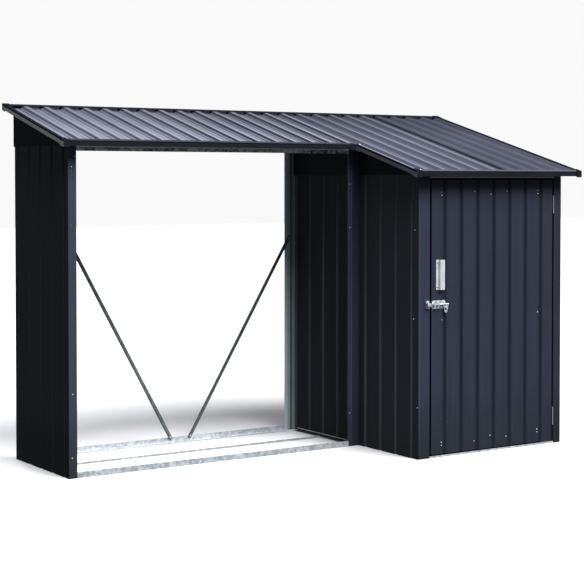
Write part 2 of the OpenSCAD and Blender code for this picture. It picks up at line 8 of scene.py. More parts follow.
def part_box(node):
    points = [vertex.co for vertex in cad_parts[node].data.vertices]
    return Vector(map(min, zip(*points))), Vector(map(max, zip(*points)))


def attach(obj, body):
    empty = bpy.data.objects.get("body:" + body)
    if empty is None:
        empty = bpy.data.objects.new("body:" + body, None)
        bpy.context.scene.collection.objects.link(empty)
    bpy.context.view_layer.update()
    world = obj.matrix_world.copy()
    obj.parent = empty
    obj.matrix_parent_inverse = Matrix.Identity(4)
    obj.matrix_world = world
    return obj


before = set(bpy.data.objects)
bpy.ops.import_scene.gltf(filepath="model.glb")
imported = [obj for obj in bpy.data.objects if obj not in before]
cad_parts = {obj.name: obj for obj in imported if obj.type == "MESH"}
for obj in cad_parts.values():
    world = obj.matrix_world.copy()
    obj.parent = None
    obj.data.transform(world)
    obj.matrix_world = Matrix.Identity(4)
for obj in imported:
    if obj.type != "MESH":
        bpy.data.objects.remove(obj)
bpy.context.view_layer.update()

# Base rails: angles of folded galvanised steel that lie on the ground round the bay and under the shed.
# They were cut to length, folded and bolted to the feet of the posts.
# Their zinc shows its grown crystals, each with its own grey, under a thin cloudy bloom.


class Wire:
    """One socket in a finish's nodes, so that shader sums are written as plain sums."""

    def __init__(self, tree, socket):
        self.tree = tree
        self.socket = socket

    def node(self, kind, settings, inputs, output=0):
        made = self.tree.nodes.new(kind)
        for name, value in settings.items():
            setattr(made, name, value)
        for name, value in inputs.items():
            if isinstance(value, Wire):
                self.tree.links.new(value.socket, made.inputs[name])
            else:
                made.inputs[name].default_value = value
        return Wire(self.tree, made.outputs[output])

    def sums(self, operation, first, second):
        return self.node("ShaderNodeMath", {"operation": operation}, {0: first, 1: second})

    def __add__(self, other):
        return self.sums("ADD", self, other)

    def __radd__(self, other):
        return self.sums("ADD", other, self)

    def __sub__(self, other):
        return self.sums("SUBTRACT", self, other)

    def __rsub__(self, other):
        return self.sums("SUBTRACT", other, self)

    def __mul__(self, other):
        return self.sums("MULTIPLY", self, other)

    def __abs__(self):
        return self.sums("ABSOLUTE", self, 0.0)

    def cycle(self, first, length):
        return self.sums("FRACT", (self - first) * (1.0 / length), 0.0)

    def between(self, low, high):
        settings = {"interpolation_type": "SMOOTHSTEP"}
        return self.node("ShaderNodeMapRange", settings, {0: self, 1: low, 2: high, 3: 0.0, 4: 1.0})

    # Sockets 6 and 7 of the mix node and its output 2 are the ones for colours.
    def tint(self, low, high):
        return self.node("ShaderNodeMix", {"data_type": "RGBA"}, {0: self, 6: low, 7: high}, 2)

    def noise(self, scale, detail, stretch=(1.0, 1.0, 1.0)):
        placed = self.node("ShaderNodeMapping", {}, {"Vector": self, "Scale": stretch})
        return self.node("ShaderNodeTexNoise", {}, {"Vector": placed, "Scale": scale, "Detail": detail})

    def cells(self, scale, output):
        return self.node("ShaderNodeTexVoronoi", {}, {"Vector": self, "Scale": scale}, output)

    def part(self, axis):
        return self.node("ShaderNodeSeparateXYZ", {}, {0: self}, axis)


def new_finish(name, metallic, specular):
    finish = bpy.data.materials.new(name)
    finish.use_nodes = True
    shader = finish.node_tree.nodes["Principled BSDF"]
    shader.inputs["Metallic"].default_value = metallic
    shader.inputs["Specular IOR Level"].default_value = specular
    coordinates = finish.node_tree.nodes.new("ShaderNodeTexCoord")
    return finish, shader, Wire(finish.node_tree, coordinates.outputs["Object"])


def lay_on(shader, colour, roughness, relief, depth):
    tree = colour.tree
    bump = relief.node("ShaderNodeBump", {}, {"Strength": 0.6, "Distance": depth, "Height": relief})
    tree.links.new(colour.socket, shader.inputs["Base Color"])
    tree.links.new(roughness.socket, shader.inputs["Roughness"])
    tree.links.new(bump.socket, shader.inputs["Normal"])


def dress(finish, *names):
    for name in names:
        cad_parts[name].material_slots[0].material = finish


def zinc_coat(name, deep, pale, roughness, metallic):
    finish, shader, spot = new_finish(name, metallic, specular=0.5)
    crystal = spot.cells(scale=85.0, output="Color").part("X")
    grain = spot.noise(scale=420.0, detail=3.0)
    bloom = spot.noise(scale=7.0, detail=4.0)
    tone = (crystal * 0.45 + grain * 0.3 + bloom * 0.5).between(0.2, 1.0)
    rough = roughness + crystal * 0.16 + bloom * 0.12
    lay_on(shader, tone.tint(deep, pale), rough, crystal + grain, depth=0.0002)
    return finish


zinc_deep = (0.40, 0.44, 0.46, 1.0)
zinc_pale = (0.80, 0.85, 0.88, 1.0)
galvanised = zinc_coat("galvanised", zinc_deep, zinc_pale, roughness=0.34, metallic=0.5)
dress(galvanised, "bay_front_rail", "bay_middle_rail", "bay_back_rail", "left_base_rail")
dress(galvanised, "shed_sill", "shed_base_rails")
# The partition rail is painted dark as painted shade, with painted highlights along its top and outer
# edges.
rail_low, rail_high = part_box("partition_base_rail")
shaded_rail_zinc, shaded_rail_shader, place = new_finish("shaded_rail_zinc", metallic=0.1, specular=0.4)
rail_mottle = place.noise(scale=30.0, detail=4.0)
upper_edge = place.part("Z").between(rail_high.z - 0.0035, rail_high.z - 0.0025)
outer_edge = 1.0 - place.part("X").between(rail_low.x + 0.004, rail_low.x + 0.006)
lit_edges = (upper_edge + outer_edge) * (0.45 + rail_mottle * 0.8)
rail_shade = (0.030, 0.036, 0.034, 1.0)
edge_highlight = (0.86, 0.90, 0.90, 1.0)
shaded_rail_colour = lit_edges.tint(rail_shade, edge_highlight)
lay_on(shaded_rail_shader, shaded_rail_colour, 0.4 + rail_mottle * 0.2, rail_mottle, depth=0.0002)
dress(shaded_rail_zinc, "partition_base_rail")

# Posts and the strip over the door: folded angles of painted sheet steel, one at each front corner.
# The satin coat is slightly pebbled, and pale dust has settled on it in small specks.
# The posts at the back of the bay and the shed were left galvanised, and have dulled to a green grey.


def satin_coat(name, deep, pale, roughness, specular, specks, soil=0.0, painted_light=None, painted_light_colour=None):
    finish, shader, spot = new_finish(name, metallic=0.0, specular=specular)
    mottle = spot.noise(scale=4.0, detail=4.0)
    streak = spot.noise(scale=1.0, detail=3.0, stretch=(55.0, 55.0, 1.6))
    pebble = spot.noise(scale=900.0, detail=2.0)
    height = spot.part("Z")
    film = (1.0 - height.between(0.02, 0.35)) * (0.35 + mottle * 0.5)
    chosen = spot.cells(scale=34.0, output="Color").part("X").between(1.0 - specks, 1.01 - specks)
    dot = (1.0 - spot.cells(scale=34.0, output="Distance").between(0.02, 0.045)) * chosen
    tone = (mottle * 0.6 + streak * 0.5 - film * 0.35).between(0.0, 1.0)
    coat = tone.tint(deep, pale)
    # The mask tints the coat to painted light or shade: highlights on folds and groove flanks, shade in
    # grooves.
    if painted_light:
        coat = (painted_light(spot) * (0.5 + streak * 0.9)).tint(coat, painted_light_colour)
    dirt = (0.55 * deep[0], 0.62 * deep[1], 0.40 * deep[2], 1.0)
    coat = ((1.0 - height.between(0.0, 0.32)) * soil).tint(coat, dirt)
    dust = (0.42, 0.44, 0.46, 1.0)
    speckled = (dot * 0.75).tint(coat, dust)
    rough = roughness - 0.07 + streak * 0.14 + film * 0.12 + dot * 0.2
    lay_on(shader, speckled, rough, pebble + mottle * 0.4, depth=0.00012)
    return finish


def line_at(x, half):
    return lambda spot: 1.0 - abs(spot.part("X") - x).between(0.6 * half, 1.2 * half)


# Light lines along the corner post's edge and the middle post's edge and fold are painted highlights.
mid_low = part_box("mid_front_post")[0]
corner_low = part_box("shed_front_left_post")[0]
edge_line = line_at(mid_low.x + 0.002, half=0.003)
fold_line = line_at(mid_low.x + 0.015, half=0.004)
fold_highlight = (0.075, 0.082, 0.112, 1.0)
post_deep = (0.0176, 0.021, 0.038, 1.0)
post_pale = (0.030, 0.0345, 0.057, 1.0)
corner_highlight = (0.042, 0.046, 0.070, 1.0)
corner_line = line_at(corner_low.x + 0.006, half=0.003)
post_paint = satin_coat("post_paint", post_deep, post_pale, roughness=0.5, specular=0.3,
                        specks=0.10, soil=0.75, painted_light=corner_line, painted_light_colour=corner_highlight)
dress(post_paint, "shed_front_left_post")
# The hinge post's coat is a darker copy of the post coat, as painted shade.
hinge_deep = (0.0135, 0.016, 0.028, 1.0)
hinge_pale = (0.0228, 0.026, 0.043, 1.0)
hinge_post_paint = satin_coat("hinge_post_paint", hinge_deep, hinge_pale, roughness=0.5,
                              specular=0.3, specks=0.10, soil=0.75)
dress(hinge_post_paint, "shed_front_right_post")
# The middle post's coat is a lighter copy of the post coat, as painted light.
middle_deep = (0.024, 0.027, 0.041, 1.0)
middle_pale = (0.040, 0.044, 0.064, 1.0)
middle_paint = satin_coat("bay_post_paint", middle_deep, middle_pale, roughness=0.5, specular=0.3,
                          specks=0.10, soil=0.4, painted_light_colour=fold_highlight,
                          painted_light=lambda spot: edge_line(spot) + fold_line(spot))
dress(middle_paint, "mid_front_post")
# The left post's coat is a lighter copy of the post coat, as painted light.
lit_post_deep = (0.027, 0.031, 0.049, 1.0)
lit_post_pale = (0.042, 0.048, 0.070, 1.0)
lit_paint = satin_coat("lit_left_post_paint", lit_post_deep, lit_post_pale, roughness=0.5, specular=0.3,
                        specks=0.10, soil=0.75)
dress(lit_paint, "left_front_post")
# The header's lower strip is painted light grey, as painted light in the shade under the roof.
strip_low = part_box("door_header")[0]
header_lip_light = (0.36, 0.365, 0.38, 1.0)
lip_top = strip_low.z + 0.009
header_paint = satin_coat("header_paint", post_deep, post_pale, roughness=0.5, specular=0.3,
                          specks=0.0, soil=0.0, painted_light_colour=header_lip_light,
                          painted_light=lambda spot: 1.0 - spot.part("Z").between(lip_top, lip_top + 0.002))
dress(header_paint, "door_header")
green_deep = (0.26, 0.32, 0.325, 1.0)
green_pale = (0.56, 0.66, 0.67, 1.0)
green_zinc = zinc_coat("green_zinc", green_deep, green_pale, roughness=0.42, metallic=0.6)
dress(green_zinc, "left_rear_post", "shed_rear_right_post")
# The rear post is painted lighter over its left part, a painted sheen, and darker along its fold, a painted
# shade.
rear_post, rear_shader, place = new_finish("folded_zinc", metallic=0.25, specular=0.4)
fold_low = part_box("mid_rear_post")[0]
rear_bloom = place.noise(scale=9.0, detail=4.0)
rear_grain = place.noise(scale=300.0, detail=3.0)
rear_sheen = 1.0 - place.part("X").between(fold_low.x + 0.004, fold_low.x + 0.040)
rear_fold = line_at(fold_low.x + 0.038, half=0.006)(place)
rear_tone = rear_sheen * 0.65 + rear_bloom * 0.25 + 0.18 - rear_fold * 0.30
rear_deep = (0.09, 0.125, 0.125, 1.0)
rear_pale = (0.72, 0.81, 0.84, 1.0)
rear_colour = rear_tone.tint(rear_deep, rear_pale)
lay_on(rear_shader, rear_colour, 0.4 + rear_bloom * 0.2, rear_grain + rear_bloom, depth=0.0002)
dress(rear_post, "mid_rear_post")


def choose(piece, wanted):
    bpy.ops.mesh.select_mode(type="FACE")
    bpy.ops.mesh.select_all(action="DESELECT")
    shape = bmesh.from_edit_mesh(piece.data)
    for face in shape.faces:
        face.select_set(wanted(face.calc_center_median(), face.normal))
    bmesh.update_edit_mesh(piece.data)


def push(distance, share):
    bpy.ops.mesh.extrude_region_move(TRANSFORM_OT_translate={"value": (0.0, 0.0, distance)})
    bpy.ops.transform.resize(value=(share, share, 1.0))


def screw_head(sides, radius, height):
    bpy.ops.object.select_all(action="DESELECT")
    middle = (0.0, 0.0, 0.25 * height)
    bpy.ops.mesh.primitive_cylinder_add(vertices=sides, radius=radius, depth=0.5 * height, location=middle)
    head = bpy.context.object
    bpy.ops.object.transform_apply()
    bpy.ops.object.mode_set(mode="EDIT")
    choose(head, lambda middle, facing: facing.z > 0.9)
    push(0.32 * height, 0.84)
    push(0.18 * height, 0.72)
    bpy.ops.mesh.inset(thickness=0.18 * radius)
    push(-0.45 * height, 0.8)
    bpy.ops.object.mode_set(mode="OBJECT")
    return head


def set_out(pattern, name, turn, places, body, finish):
    copies = []
    for spot in places:
        copy = pattern.copy()
        copy.data = pattern.data.copy()
        copy.data.transform(Matrix.Translation(spot) @ turn)
        bpy.context.collection.objects.link(copy)
        copies.append(copy)
    bpy.data.objects.remove(pattern)
    bpy.ops.object.select_all(action="DESELECT")
    for copy in copies:
        copy.select_set(True)
    bpy.context.view_layer.objects.active = copies[0]
    bpy.ops.object.join()
    bpy.ops.object.shade_smooth_by_angle(angle=math.radians(40.0))
    group = copies[0]
    group.name = name
    group.data.materials.clear()
    group.data.materials.append(finish)
    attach(group, body)


to_front = Matrix.Rotation(math.pi / 2, 4, "X")
to_left = Matrix.Rotation(-math.pi / 2, 4, "Y")
to_right = Matrix.Rotation(math.pi / 2, 4, "Y")
to_back = Matrix.Rotation(-math.pi / 2, 4, "X")
post_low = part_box("left_front_post")[0]
post_spots = ((0.085, 0.014), (0.349, 0.017), (1.287, 0.015), (1.330, 0.030))
post_screws = [(post_low.x + inset, post_low.y, height) for height, inset in post_spots]
mid_inset = 0.005
mid_heights = (0.154, 1.013, 1.213)
post_screws += [(mid_low.x + mid_inset, mid_low.y, height) for height in mid_heights]
post_screw = screw_head(sides=10, radius=0.0028, height=0.0022)
set_out(post_screw, "post_screws", to_front, post_screws, "frame", galvanised)

# Walls: thin painted sheet steel pressed with upright grooves, fixed to the posts by a row of screws.
# Plain gable sheets are lapped over their tops, close under the roof, and painted darkest as painted shade.
# The sheets have the same anthracite coat as the door; each wall has a lighter or darker copy as painted
# light, and the one beside the shed is the lightest.
# In the sheets that face the left, the grooves are painted lighter than the sheet between: painted
# highlights.
wall_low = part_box("fore_wall")[0]
side_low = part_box("left_wall")[0]


def groove_from(face):
    return lambda spot: (spot.part("X") - face).between(0.0006, 0.0030)


# On the fore wall the painted groove highlights fade upwards, as a painted shadow of the roof.
def fore_groove_highlights(spot):
    return groove_from(wall_low.x)(spot) * (1.0 - spot.part("Z").between(0.25, 1.05) * 0.55)


wall_deep = (0.011, 0.0125, 0.017, 1.0)
wall_pale = (0.018, 0.020, 0.027, 1.0)
wall_paint = satin_coat("wall_paint", wall_deep, wall_pale, roughness=0.52, specular=0.22,
                        specks=0.0, soil=0.3)
dress(wall_paint, "shed_right_wall", "shed_back_wall")
# The left wall, the partition and the fore wall have their own copies of the wall coat, as painted light.
side_deep = (0.0085, 0.0096, 0.0130, 1.0)
side_pale = (0.0140, 0.0155, 0.0208, 1.0)
side_groove_highlight = (0.028, 0.031, 0.038, 1.0)
side_paint = satin_coat("left_wall_paint", side_deep, side_pale, roughness=0.52, specular=0.18,
                        specks=0.0, soil=0.3, painted_light=groove_from(side_low.x), painted_light_colour=side_groove_highlight)
dress(side_paint, "left_wall")
inner_deep = (0.013, 0.0145, 0.019, 1.0)
inner_pale = (0.021, 0.023, 0.030, 1.0)
inner_groove_highlight = (0.085, 0.092, 0.112, 1.0)
inner_paint = satin_coat("inner_paint", inner_deep, inner_pale, roughness=0.52, specular=0.24,
                         specks=0.0, soil=0.3, painted_light=groove_from(wall_low.x), painted_light_colour=inner_groove_highlight)
dress(inner_paint, "partition_wall")
fore_lit_deep = (0.026, 0.029, 0.036, 1.0)
fore_lit_pale = (0.039, 0.043, 0.052, 1.0)
fore_groove_highlight = (0.105, 0.113, 0.146, 1.0)
fore_lit_paint = satin_coat("fore_lit_paint", fore_lit_deep, fore_lit_pale, roughness=0.52, specular=0.3,
                         specks=0.0, soil=0.3, painted_light=fore_groove_highlights, painted_light_colour=fore_groove_highlight)
dress(fore_lit_paint, "fore_wall")
# The gables' coat is a darker copy as painted shade under the roof; the step's gable has a lighter copy.
gable_deep = (0.0050, 0.0056, 0.0064, 1.0)
gable_pale = (0.0085, 0.0092, 0.0104, 1.0)
gable_paint = satin_coat("gable_paint", gable_deep, gable_pale, roughness=0.6, specular=0.12, specks=0.0)
dress(gable_paint, "left_gable", "shed_right_gable")
step_gable_deep = (0.012, 0.0134, 0.0150, 1.0)
step_gable_pale = (0.021, 0.0228, 0.0252, 1.0)
step_gable_paint = satin_coat("step_gable_paint", step_gable_deep, step_gable_pale,
                              roughness=0.6, specular=0.12, specks=0.0)
dress(step_gable_paint, "shed_left_gable")
far_low, far_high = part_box("shed_right_wall")
rows = (0.235, 0.632, 1.029)
left_spots = ((0.006, 0.229), (0.033, 0.619), (0.026, 1.012))
left_screws = [(wall_low.x, wall_low.y + inset, height) for inset, height in left_spots]
wall_screw = screw_head(sides=10, radius=0.0030, height=0.0022)
set_out(wall_screw, "fore_wall_screws", to_left, left_screws, "frame", galvanised)
front_inset = 0.034
rear_inset = 0.030
right_screws = [(far_high.x, far_low.y + front_inset, height) for height in rows]
right_screws += [(far_high.x, far_high.y - rear_inset, height) for height in rows]
wall_screw = screw_head(sides=10, radius=0.0036, height=0.0022)
set_out(wall_screw, "right_wall_screws", to_right, right_screws, "frame", galvanised)
back_low, back_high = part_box("shed_back_wall")
back_inset = 0.022
back_screws = [(back_low.x + back_inset, back_high.y, height) for height in rows]
back_screws += [(back_high.x - back_inset, back_high.y, height) for height in rows]
wall_screw = screw_head(sides=10, radius=0.0036, height=0.0022)
set_out(wall_screw, "back_wall_screws", to_back, back_screws, "frame", galvanised)

# Beams over the bay and the two braces at its back: galvanised angles, cut and folded as the rails are.
# The braces are bolted through their flat ends to the back rail and the back posts.
# A row of small bolts along the front beam holds the roof's edge trim.
dull_deep = (0.10, 0.115, 0.118, 1.0)
dull_pale = (0.22, 0.25, 0.255, 1.0)
dull_zinc = zinc_coat("dull_zinc", dull_deep, dull_pale, roughness=0.42, metallic=0.6)
dress(dull_zinc, "brace_left", "brace_right", "bay_back_beam")
beam_zinc, beam_shader, place = new_finish("beam_zinc", metallic=0.1, specular=0.4)
fascia_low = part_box("trim_bay_front")[0]
beam_crystal = place.cells(scale=70.0, output="Color").part("X")
beam_bloom = place.noise(scale=11.0, detail=4.0)
# The beam's top lip under the fascia is painted near white: a painted highlight with a green reflection.
beam_lip = place.part("Z").between(fascia_low.z - 0.0038, fascia_low.z - 0.0030)
beam_tone = (beam_crystal * 0.4 + beam_bloom * 0.8).between(0.3, 0.9)
beam_deep = (0.05, 0.065, 0.070, 1.0)
beam_pale = (0.78, 0.90, 0.80, 1.0)
beam_lip_highlight = (0.92, 0.95, 0.88, 1.0)
beam_colour = beam_lip.tint(beam_tone.tint(beam_deep, beam_pale), beam_lip_highlight)
lay_on(beam_shader, beam_colour, 0.4 + beam_bloom * 0.2, beam_crystal + beam_bloom, depth=0.0002)
dress(beam_zinc, "bay_front_beam")
brace_width = 0.018
bolt_inset = 0.012
brace_sheet = 0.0015
angle_rounds = 6
brace_bolts = []
for brace, lean in (("brace_left", -1.0), ("brace_right", 1.0)):
    low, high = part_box(brace)
    angle = 1.0
    for k in range(angle_rounds):
        rise = high.z - low.z - brace_width * math.cos(angle)
        angle = math.atan2(rise, high.x - low.x - brace_width * math.sin(angle))
    span = (high.z - low.z - brace_width * math.cos(angle)) / math.sin(angle)
    for end in (-1.0, 1.0):
        reach = end * (0.5 * span - bolt_inset)
        bolt_x = 0.5 * (low.x + high.x) + lean * reach * math.cos(angle)
        bolt_height = 0.5 * (low.z + high.z) + reach * math.sin(angle)
        brace_bolts.append((bolt_x, high.y - brace_sheet, bolt_height))
brace_bolt = screw_head(sides=6, radius=0.0058, height=0.0042)
set_out(brace_bolt, "brace_bolts", to_front, brace_bolts, "frame", galvanised)
beam_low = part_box("bay_front_beam")[0]
beam_first = 0.1355
beam_pitch = 0.152
beam_count = 8
beam_rise = 0.011
beam_bolts = []
for k in range(beam_count):
    beam_bolts.append((beam_low.x + beam_first + k * beam_pitch, beam_low.y, beam_low.z + beam_rise))
beam_bolt = screw_head(sides=6, radius=0.0056, height=0.0034)
set_out(beam_bolt, "beam_bolts", to_front, beam_bolts, "frame", galvanised)

# Roof sheets: three lengths of ribbed painted sheet that fall to the front, with one seam over the shed.
# The coat is smoother than the walls' and lighter towards the eave.
# Each pan's pressed line and the ribs' flanks are painted darker, as painted shade, and a strip of each
# pan, the feet and the crests are painted lighter, as painted reflection and highlights.
# The bay's sheet has less painted reflection towards the shed; only its crests keep their painted
# highlight.
rear_low, rear_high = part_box("trim_back")
front_low, front_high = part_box("trim_shed_front")
pitch = math.radians(15.3)
on_slope = Matrix.Rotation(pitch, 4, "X")
rib_height = 0.012
rib_pitch = 0.0962
rib_inset = 0.0948
rib_first = rear_low.x + rib_inset
rib_count = 25
flange_depth = 0.0012
lap_gap = 0.0002


def roof_top(y):
    return rear_high.z - (rear_high.y - y) * math.tan(pitch)


def below_roof(spot):
    return roof_top(spot.part("Y")) - spot.part("Z")


def pan_top(y):
    return roof_top(y) - (flange_depth + rib_height) / math.cos(pitch) - lap_gap


def roof_coat(name, deep, pale, base, patchy, pressed, flank_shading, painted_light, reflection_falloff=0.0, shaded=None):
    finish, shader, spot = new_finish(name, metallic=0.0, specular=0.4)
    mottle = spot.noise(scale=5.0, detail=4.0)
    run = spot.noise(scale=1.0, detail=4.0, stretch=(48.0, 2.2, 2.2))
    pebble = spot.noise(scale=800.0, detail=2.0)
    along = spot.part("X").cycle(rib_first - 0.5 * rib_pitch, rib_pitch)
    # Painted light across each rib: reflection on the pan, shade on the line and flank, glints and
    # highlight.
    pan_reflection = 1.0 - abs(along - 0.065).between(0.02, 0.09)
    line = 1.0 - abs(along - 0.215).between(0.015, 0.050)
    foot = 1.0 - abs(along - 0.288).between(0.006, 0.018)
    flank_shade = along.between(0.300, 0.322) - along.between(0.370, 0.388)
    crest = along.between(0.378, 0.430) - along.between(0.450, 0.640)
    light_and_shade = (pan_reflection * 0.18 - line * 0.58 + foot * 0.38) * pressed - flank_shade * flank_shading + crest * painted_light
    weather = ((mottle - 0.5) * 0.22 + (run - 0.5) * 0.34) * patchy
    eave = 1.0 - spot.part("Y").between(rear_high.y - 0.55, rear_high.y)
    # The painted reflection fades towards the shed.
    fading_reflection = spot.part("X").between(rear_low.x + 0.27, rear_low.x + 1.67) * reflection_falloff
    tone = (light_and_shade + weather + base - fading_reflection + crest * fading_reflection * 1.4) * (0.60 + eave * 0.50)
    rough = 0.44 + run * 0.12 + mottle * 0.06
    colour = tone.tint(deep, pale)
    if shaded:
        deep_shade = (0.005, 0.006, 0.010, 1.0)
        colour = shaded(spot).tint(colour, deep_shade)
    lay_on(shader, colour, rough, pebble + mottle * 0.6 - line * 2.0, depth=0.00014)
    return finish


# Each sheet has its own copy of the roof coat, lighter or darker as painted light and reflection.
bay_deep = (0.030, 0.0325, 0.047, 1.0)
bay_pale = (0.270, 0.283, 0.355, 1.0)
bay_coat = roof_coat("roof_paint", bay_deep, bay_pale, base=0.57, patchy=1.0, pressed=1.0,
                     flank_shading=0.42, painted_light=0.30, reflection_falloff=0.36)
dress(bay_coat, "bay_roof_sheet")
shed_deep = (0.015, 0.0165, 0.026, 1.0)
shed_pale = (0.200, 0.211, 0.275, 1.0)
shed_coat = roof_coat("shed_roof_paint", shed_deep, shed_pale, base=0.33, patchy=0.6, pressed=0.15,
                      flank_shading=0.0, painted_light=0.50)
dress(shed_coat, "shed_roof_sheet_left")
end_deep = (0.015, 0.0168, 0.026, 1.0)
end_pale = (0.160, 0.170, 0.232, 1.0)
seam_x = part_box("shed_roof_sheet_right")[0].x
verge_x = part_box("trim_right")[0].x


def shaded_edges(spot):
    across = spot.part("X")
    lap = across.between(seam_x + 0.001, seam_x + 0.002) - across.between(seam_x + 0.0055, seam_x + 0.007)
    return lap + across.between(verge_x - 0.011, verge_x - 0.007)


end_coat = roof_coat("right_roof_paint", end_deep, end_pale, base=0.31, patchy=0.5, pressed=0.10,
                     flank_shading=-0.08, painted_light=0.0, shaded=shaded_edges)
dress(end_coat, "shed_roof_sheet_right")

# Seam between the two sheets over the shed: a dark grey bead along the lap, from eave to back.
# It stands in for the shade along the lap, a painted shade, and its edges are rounded.
seam_width = 0.006
seam_depth = 0.0020
seam_round = 0.0009
front_flange = 0.022
back_flange = 0.032
seam_front = front_low.y + front_flange
seam_back = rear_high.y - back_flange
seam_length = (seam_back - seam_front) / math.cos(pitch)
bpy.ops.object.select_all(action="DESELECT")
bpy.ops.mesh.primitive_cube_add(size=1.0)
bead = bpy.context.object
bead.name = "roof_seam_shade_bead"
bpy.ops.object.mode_set(mode="EDIT")
bpy.ops.transform.resize(value=(seam_width, seam_length, seam_depth))
bpy.ops.transform.translate(value=(0.0, 0.0, 0.5 * seam_depth))
choose(bead, lambda middle, facing: facing.z > 0.9)
bpy.ops.mesh.bevel(offset=seam_round, segments=2, affect="EDGES")
bpy.ops.object.mode_set(mode="OBJECT")
seam_y = 0.5 * (seam_front + seam_back)
bead.data.transform(Matrix.Translation((seam_x - 0.5 * seam_width, seam_y, pan_top(seam_y))) @ on_slope)
seam_shade, seam_shade_shader, place = new_finish("seam_shade_paint", metallic=0.0, specular=0.05)
seam_shade_grain = place.noise(scale=160.0, detail=3.0)
seam_shade_deep = (0.026, 0.028, 0.036, 1.0)
seam_shade_pale = (0.044, 0.046, 0.060, 1.0)
seam_shade_colour = seam_shade_grain.tint(seam_shade_deep, seam_shade_pale)
lay_on(seam_shade_shader, seam_shade_colour, 0.6 + seam_shade_grain * 0.2, seam_shade_grain, depth=0.0003)
bead.data.materials.append(seam_shade)
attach(bead, "frame")

# Roof trims and corner caps: folded painted edging clipped over the ends of the sheets, with moulded caps.
# The verges' and the step's upright faces are painted a lighter grey olive as painted light; the rest is
# dark.
# The eaves and the inner edges of the left verge and the step have painted highlights along their tops.
trim_deep = (0.008, 0.008, 0.0125, 1.0)
trim_pale = (0.017, 0.017, 0.024, 1.0)
trim_paint = satin_coat("trim_paint", trim_deep, trim_pale, roughness=0.6, specular=0.04, specks=0.0)
dress(trim_paint, "trim_back")


def eave_coat(name, painted_light):
    finish, shader, spot = new_finish(name, metallic=0.0, specular=0.04)
    mottle = spot.noise(scale=6.0, detail=4.0)
    pebble = spot.noise(scale=900.0, detail=2.0)
    depth = below_roof(spot)
    # The top edge is tinted to the given painted highlight.
    top = 1.0 - depth.between(0.0014, 0.0020)
    under = depth.between(0.0020, 0.0026) - depth.between(0.0040, 0.0065)
    under_shade = (0.004, 0.004, 0.007, 1.0)
    face = under.tint(mottle.tint(trim_deep, trim_pale), under_shade)
    lay_on(shader, top.tint(face, painted_light), 0.55 + mottle * 0.15, pebble + mottle * 0.4, depth=0.00012)
    return finish


bay_eave_highlight = (0.048, 0.050, 0.066, 1.0)
shed_eave_highlight = (0.088, 0.092, 0.118, 1.0)
dress(eave_coat("bay_eave_paint", bay_eave_highlight), "trim_bay_front")
dress(eave_coat("shed_eave_paint", shed_eave_highlight), "trim_shed_front")
fold_start = 0.0062
fold_end = 0.0082


def verge_coat(name, edge, deep, pale, inside):
    finish, shader, spot = new_finish(name, metallic=0.0, specular=0.03)
    mottle = spot.noise(scale=9.0, detail=4.0)
    streak = spot.noise(scale=1.0, detail=3.0, stretch=(60.0, 60.0, 4.0))
    pebble = spot.noise(scale=900.0, detail=2.0)
    below = below_roof(spot).between(fold_start, fold_end)
    # The upright face is painted lighter, as painted light.
    outside = below * (1.0 - abs(spot.part("X") - edge).between(0.0003, 0.0007))
    light_and_shade = (mottle * 0.6 + streak * 0.5).between(0.2, 0.9).tint(deep, pale)
    dark_trim_deep = (0.007, 0.007, 0.011, 1.0)
    dark_trim_pale = (0.014, 0.014, 0.020, 1.0)
    dark_trim = mottle.tint(dark_trim_deep, dark_trim_pale)
    colour = outside.tint(dark_trim, light_and_shade)
    # The inner edge of the flange gets a painted highlight.
    if inside:
        rim = (spot.part("X") - edge).between(inside, inside + 0.003)
        rim = rim * (1.0 - spot.part("Y").between(rear_high.y - 0.13, rear_high.y - 0.07))
        rim_highlight = (0.20, 0.21, 0.265, 1.0)
        colour = rim.tint(colour, rim_highlight)
    lay_on(shader, colour, 0.55 + mottle * 0.15, pebble + mottle * 0.4, depth=0.00012)
    return finish


left_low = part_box("trim_left")[0]
step_low, step_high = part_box("trim_step")
right_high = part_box("trim_right")[1]
# Painted light on the upright faces: lightest on the left verge, less on the step, a middle grey on the
# right.
verge_deep = (0.336, 0.336, 0.33, 1.0)
verge_pale = (0.45, 0.45, 0.43, 1.0)
dress(verge_coat("left_verge_paint", left_low.x, verge_deep, verge_pale, inside=0.016), "trim_left")
right_deep = (0.085, 0.088, 0.092, 1.0)
right_pale = (0.130, 0.133, 0.138, 1.0)
dress(verge_coat("right_verge_paint", right_high.x, right_deep, right_pale, inside=0.0), "trim_right")
step_deep = (0.134, 0.137, 0.154, 1.0)
step_pale = (0.194, 0.198, 0.220, 1.0)
dress(verge_coat("step_verge_paint", step_low.x, step_deep, step_pale, inside=0.009), "trim_step")
cap_thickness = 0.002
cap_paint, cap_shader, place = new_finish("cap_paint", metallic=0.0, specular=0.03)
cap_mottle = place.noise(scale=40.0, detail=3.0)
cap_lower = below_roof(place).between(fold_start, fold_end)
left_side = cap_lower * (1.0 - abs(place.part("X") - left_low.x + cap_thickness).between(0.0003, 0.0007))
step_side = cap_lower * (1.0 - abs(place.part("X") - step_low.x + cap_thickness).between(0.0003, 0.0007))
cap_colour = cap_mottle.tint(trim_deep, trim_pale)
# The caps' upright faces take the verges' painted light greys.
left_cap_light = (0.36, 0.36, 0.35, 1.0)
step_cap_light = (0.164, 0.168, 0.187, 1.0)
cap_colour = left_side.tint(cap_colour, left_cap_light)
cap_colour = step_side.tint(cap_colour, step_cap_light)
lay_on(cap_shader, cap_colour, 0.6 + cap_mottle * 0.1, cap_mottle, depth=0.0001)
dress(cap_paint, "roof_corner_caps")

